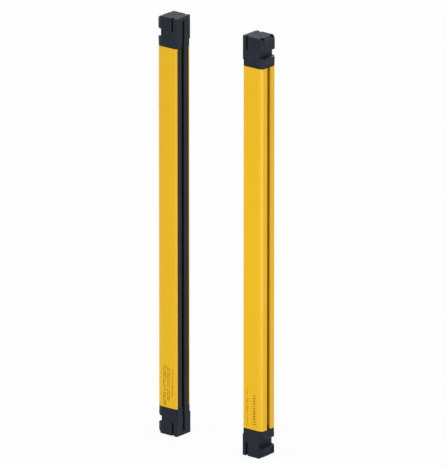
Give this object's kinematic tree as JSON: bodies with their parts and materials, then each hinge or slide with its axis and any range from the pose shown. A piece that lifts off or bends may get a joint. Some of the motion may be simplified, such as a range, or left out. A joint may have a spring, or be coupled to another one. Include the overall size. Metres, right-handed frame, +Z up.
{
  "type": "safety light curtain",
  "caption": "Upright emitter and receiver bars that face each other, with lens rows behind dark windows, capped ends, bracket notches and rear T-slots.",
  "frame": {"origin": "middle of the pair's base, halfway between the emitter and the receiver at their lower end faces", "axes": "+Z up along the units, +X from the emitter to the receiver, +Y across"},
  "size_m": [0.174, 0.028, 0.56],
  "materials": {
    "yellow_paint": "satin powder coat on aluminium",
    "cap_plastic": "fine moulded texture",
    "window_plastic": "polished, dark, passes infrared",
    "trim_plastic": "satin extruded",
    "gasket_rubber": "matte",
    "screw_steel": "zinc plated",
    "lens_plastic": "clear moulded",
    "holder_plastic": "matte moulded",
    "circuit_board": "solder mask",
    "diode_plastic": "moulded",
    "socket_plastic": "moulded",
    "pin_brass": "gold plated"
  },
  "bodies": {
    "root": {"emitter_board_link": "socket_plastic", "emitter_cable_socket_insert": "socket_plastic", "emitter_cable_socket_pins": "pin_brass", "emitter_cable_socket_seal": "gasket_rubber", "emitter_cap_gaskets": "gasket_rubber", "emitter_cap_screws": "screw_steel", "emitter_control_board": "circuit_board", "emitter_front_window": "window_plastic", "emitter_housing": "yellow_paint", "emitter_infrared_diodes": "diode_plastic", "emitter_left_trim_strip": "trim_plastic", "emitter_lens_array": "lens_plastic", "emitter_lens_holder": "holder_plastic", "emitter_light_guides": "lens_plastic", "emitter_lower_cap": "cap_plastic", "emitter_optics_board": "circuit_board", "emitter_right_trim_strip": "trim_plastic", "emitter_series_cover": "cap_plastic", "emitter_series_socket_insert": "socket_plastic", "emitter_series_socket_pins": "pin_brass", "emitter_series_socket_seal": "gasket_rubber", "emitter_upper_cap": "cap_plastic", "receiver_board_link": "socket_plastic", "receiver_cable_socket_insert": "socket_plastic", "receiver_cable_socket_pins": "pin_brass", "receiver_cable_socket_seal": "gasket_rubber", "receiver_cap_gaskets": "gasket_rubber", "receiver_cap_screws": "screw_steel", "receiver_control_board": "circuit_board", "receiver_front_window": "window_plastic", "receiver_housing": "yellow_paint", "receiver_left_trim_strip": "trim_plastic", "receiver_lens_array": "lens_plastic", "receiver_lens_holder": "holder_plastic", "receiver_light_guides": "lens_plastic", "receiver_lower_cap": "cap_plastic", "receiver_optics_board": "circuit_board", "receiver_photodiodes": "diode_plastic", "receiver_right_trim_strip": "trim_plastic", "receiver_series_cover": "cap_plastic", "receiver_series_socket_insert": "socket_plastic", "receiver_series_socket_pins": "pin_brass", "receiver_series_socket_seal": "gasket_rubber", "receiver_upper_cap": "cap_plastic"}
  },
  "joints": []
}
